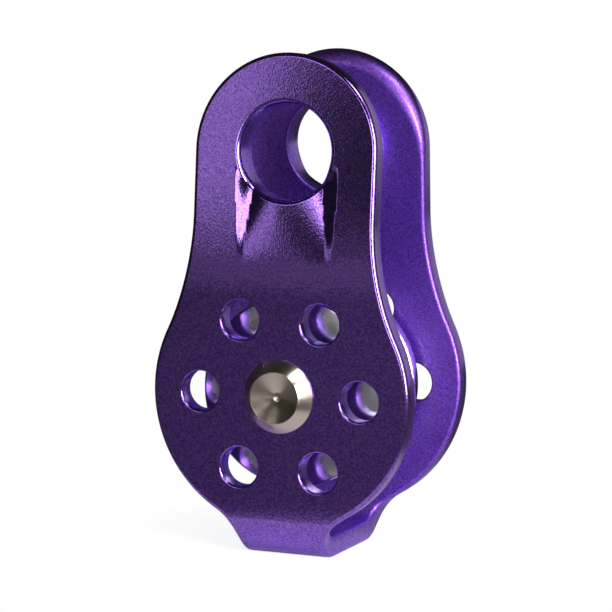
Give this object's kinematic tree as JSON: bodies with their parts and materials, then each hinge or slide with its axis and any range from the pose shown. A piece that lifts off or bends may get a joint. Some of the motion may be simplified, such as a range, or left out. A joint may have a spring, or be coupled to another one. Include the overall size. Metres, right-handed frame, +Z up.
{
  "type": "climbing pulley",
  "caption": "Small climbing pulley: one folded sheet forms both side plates and a foot, with a grooved sheave on ball bearings between them and an eye for a carabiner above.",
  "frame": {"origin": "middle of the underside of the folded strip, which is what the pulley stands on", "axes": "+Z up through the carabiner eye, Y along the axle with the front cheek on -Y, X across the cheeks"},
  "size_m": [0.0492, 0.0348, 0.0903],
  "materials": {
    "anodised_plate": "purple anodised over a fine blasted surface, edges tumbled round",
    "axle_steel": "turned stainless steel, spun heads",
    "sheave_alloy": "turned and polished aluminium, left natural",
    "bearing_steel": "ground and polished bearing steel",
    "shield_steel": "pressed steel sheet, satin",
    "cage_brass": "machined, satin"
  },
  "bodies": {
    "frame": {"side_plates": "anodised_plate", "axle": "axle_steel", "bearing_spacer": "axle_steel", "front_collar": "axle_steel", "rear_collar": "axle_steel", "front_inner_ring": "bearing_steel", "rear_inner_ring": "bearing_steel"},
    "sheave": {"sheave": "sheave_alloy", "front_outer_ring": "bearing_steel", "rear_outer_ring": "bearing_steel", "front_outer_shield": "shield_steel", "front_inner_shield": "shield_steel", "rear_outer_shield": "shield_steel", "rear_inner_shield": "shield_steel"},
    "front_ball_set": {"front_ball_cage": "cage_brass", "front_ball_1": "bearing_steel", "front_ball_2": "bearing_steel", "front_ball_3": "bearing_steel", "front_ball_4": "bearing_steel", "front_ball_5": "bearing_steel", "front_ball_6": "bearing_steel", "front_ball_7": "bearing_steel", "front_ball_8": "bearing_steel", "front_ball_9": "bearing_steel"},
    "rear_ball_set": {"rear_ball_cage": "cage_brass", "rear_ball_1": "bearing_steel", "rear_ball_2": "bearing_steel", "rear_ball_3": "bearing_steel", "rear_ball_4": "bearing_steel", "rear_ball_5": "bearing_steel", "rear_ball_6": "bearing_steel", "rear_ball_7": "bearing_steel", "rear_ball_8": "bearing_steel", "rear_ball_9": "bearing_steel"}
  },
  "joints": [
    {"name": "sheave_spin", "type": "hinge", "parent": "frame", "child": "sheave", "pos_m": [0, 0, 0.0296], "axis": [0, 1, 0], "continuous": true},
    {"name": "front_balls_orbit", "type": "hinge", "parent": "frame", "child": "front_ball_set", "pos_m": [0, 0, 0.0296], "axis": [0, 1, 0], "continuous": true},
    {"name": "rear_balls_orbit", "type": "hinge", "parent": "frame", "child": "rear_ball_set", "pos_m": [0, 0, 0.0296], "axis": [0, 1, 0], "continuous": true}
  ],
  "couplings": [
    {"joint": "front_balls_orbit", "follows": "sheave_spin", "ratio": 0.6},
    {"joint": "rear_balls_orbit", "follows": "sheave_spin", "ratio": 0.6}
  ]
}
